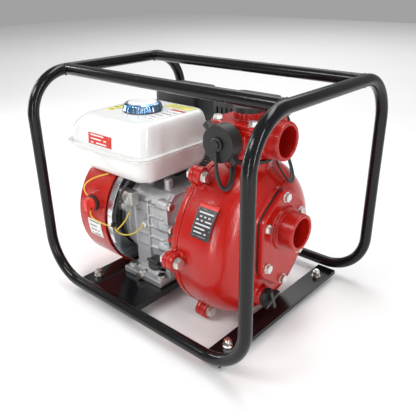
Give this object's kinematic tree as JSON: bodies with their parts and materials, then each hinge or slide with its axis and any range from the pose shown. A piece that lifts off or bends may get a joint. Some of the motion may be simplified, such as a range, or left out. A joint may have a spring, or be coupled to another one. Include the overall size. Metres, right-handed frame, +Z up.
{
  "type": "portable fire pump",
  "caption": "Engine-driven centrifugal fire pump in a black tubular carrying frame, with capped side outlets and threaded suction and delivery ports",
  "frame": {"origin": "bottom centre of the bounding box, between the rubber feet", "axes": "+X towards the pump end along the frame and crankshaft, -Y towards the side with the engine switch, +Z up"},
  "size_m": [0.49, 0.39, 0.417],
  "materials": {
    "frame": "gloss black enamel",
    "foot_rubber": "moulded rubber",
    "zinc": "zinc plated",
    "cast_alloy": "as-cast, sandblasted",
    "red_sheet": "gloss red enamel",
    "red_cast": "gloss red paint over cast aluminium",
    "bright_sheet": "bright pressed sheet",
    "black_plastic": "textured black",
    "white_plastic": "glossy white",
    "red_plastic": "glossy red",
    "blue_cap": "blue film over plated steel",
    "hot_black": "heat-proof black",
    "hose_rubber": "smooth rubber",
    "wire": "yellow insulation",
    "iron": "machined",
    "steel": "ground",
    "bronze": "cast",
    "ceramic": "ground ceramic ring",
    "thread_white": "white"
  },
  "bodies": {
    "base": {"left_hoop": "frame", "right_hoop": "frame", "top_rails": "frame", "cross_members": "frame", "engine_base_plate": "frame", "rubber_feet": "foot_rubber", "foot_bolts": "zinc", "crankcase": "cast_alloy", "crankcase_cover": "cast_alloy", "cylinder_barrel": "cast_alloy", "cylinder_head": "cast_alloy", "rocker_cover": "bright_sheet", "blower_housing": "red_sheet", "recoil_cover": "red_sheet", "air_shroud": "bright_sheet", "oil_alert_unit": "zinc", "wiring_harness": "wire", "ignition_coil": "black_plastic", "spark_plug": "thread_white", "carburettor": "cast_alloy", "air_cleaner_base": "black_plastic", "air_cleaner_cover": "black_plastic", "muffler": "hot_black", "muffler_guard": "hot_black", "fuel_tank_upper": "white_plastic", "fuel_tank_lower": "white_plastic", "fuel_hose": "hose_rubber", "engine_fasteners": "zinc", "switch_base": "black_plastic", "pump_adapter": "red_cast", "volute_casing": "red_cast", "inner_volute": "iron", "suction_gasket": "hose_rubber", "suction_cover": "red_cast", "outlet_head": "red_cast", "priming_flange": "red_cast", "pump_bolts": "zinc", "seal_seat": "ceramic", "neck_rings": "hose_rubber"},
    "crank": {"crankshaft": "steel", "flywheel": "iron", "impeller": "bronze"},
    "cam": {"camshaft": "steel"},
    "pulley": {"recoil_pulley": "black_plastic"},
    "handle": {"starter_handle": "black_plastic"},
    "stop_switch": {"switch_knob": "red_plastic"},
    "throttle": {"throttle_lever": "black_plastic"},
    "flap": {"flap_valve": "hose_rubber"},
    "fuel_cap": {"tank_cap": "blue_cap"},
    "front_cap_carrier": {"front_cap_gasket": "hose_rubber", "front_strap": "hose_rubber"},
    "front_cap": {"front_outlet_cap": "black_plastic"},
    "rear_cap_carrier": {"rear_cap_gasket": "hose_rubber", "rear_strap": "hose_rubber"},
    "rear_cap": {"rear_outlet_cap": "black_plastic"},
    "priming_carrier": {"priming_gasket": "hose_rubber"},
    "priming": {"priming_plug": "black_plastic"},
    "drain_carrier": {"drain_gasket": "hose_rubber"},
    "drain": {"drain_plug": "black_plastic"},
    "dip": {"dipstick": "black_plastic"}
  },
  "joints": [
    {"name": "crank_turn", "type": "hinge", "parent": "base", "child": "crank", "pos_m": [0, -0.014, 0.139], "axis": [1, 0, 0], "continuous": true},
    {"name": "cam_turn", "type": "hinge", "parent": "base", "child": "cam", "pos_m": [0, -0.014, 0.0905], "axis": [1, 0, 0], "continuous": true},
    {"name": "starter_pull", "type": "slide", "parent": "base", "child": "handle", "axis": [0, 1, 0], "range_m": [0, 0.5]},
    {"name": "pulley_turn", "type": "hinge", "parent": "base", "child": "pulley", "pos_m": [-0.217, -0.014, 0.139], "axis": [1, 0, 0], "range_deg": [-720, 0]},
    {"name": "switch_turn", "type": "hinge", "parent": "base", "child": "stop_switch", "pos_m": [-0.154, -0.142, 0.177], "axis": [0, -1, 0], "range_deg": [0, 60]},
    {"name": "throttle_turn", "type": "hinge", "parent": "base", "child": "throttle", "pos_m": [-0.066, 0.026, 0.215], "axis": [0, 0, 1], "range_deg": [-25, 35]},
    {"name": "flap_turn", "type": "hinge", "parent": "base", "child": "flap", "pos_m": [0.167, -0.014, 0.2084], "axis": [0, 1, 0], "range_deg": [0, 35]},
    {"name": "fuel_cap_turn", "type": "hinge", "parent": "base", "child": "fuel_cap", "pos_m": [-0.12, -0.033, 0.335], "axis": [0, 0, 1], "range_deg": [0, 80]},
    {"name": "front_cap_out", "type": "slide", "parent": "base", "child": "front_cap_carrier", "axis": [0, -1, 0], "range_m": [0, 0.01154]},
    {"name": "front_cap_turn", "type": "hinge", "parent": "front_cap_carrier", "child": "front_cap", "pos_m": [0.106, -0.084, 0.328], "axis": [0, -1, 0], "range_deg": [0, 1801]},
    {"name": "rear_cap_out", "type": "slide", "parent": "base", "child": "rear_cap_carrier", "axis": [0, 1, 0], "range_m": [0, 0.01154]},
    {"name": "rear_cap_turn", "type": "hinge", "parent": "rear_cap_carrier", "child": "rear_cap", "pos_m": [0.106, 0.056, 0.328], "axis": [0, 1, 0], "range_deg": [0, 1801]},
    {"name": "priming_out", "type": "slide", "parent": "base", "child": "priming_carrier", "axis": [0, 0, 1], "range_m": [0, 0.01154]},
    {"name": "priming_turn", "type": "hinge", "parent": "priming_carrier", "child": "priming", "pos_m": [0.106, -0.014, 0.365], "axis": [0, 0, 1], "range_deg": [0, 1801]},
    {"name": "drain_out", "type": "slide", "parent": "base", "child": "drain_carrier", "axis": [1, 0, 0], "range_m": [0, 0.01154]},
    {"name": "drain_turn", "type": "hinge", "parent": "drain_carrier", "child": "drain", "pos_m": [0.176, -0.054, 0.073], "axis": [1, 0, 0], "range_deg": [0, 1801]},
    {"name": "dipstick_out", "type": "slide", "parent": "base", "child": "dip", "axis": [0, -0.766, 0.6428], "range_m": [0, 0.06]}
  ],
  "couplings": [
    {"joint": "cam_turn", "follows": "crank_turn", "ratio": -0.5},
    {"joint": "pulley_turn", "follows": "starter_pull", "rad_per_m": -17.094},
    {"joint": "front_cap_turn", "follows": "front_cap_out", "rad_per_m": 2721.2},
    {"joint": "rear_cap_turn", "follows": "rear_cap_out", "rad_per_m": 2721.2},
    {"joint": "priming_turn", "follows": "priming_out", "rad_per_m": 2721.2},
    {"joint": "drain_turn", "follows": "drain_out", "rad_per_m": 2721.2}
  ]
}
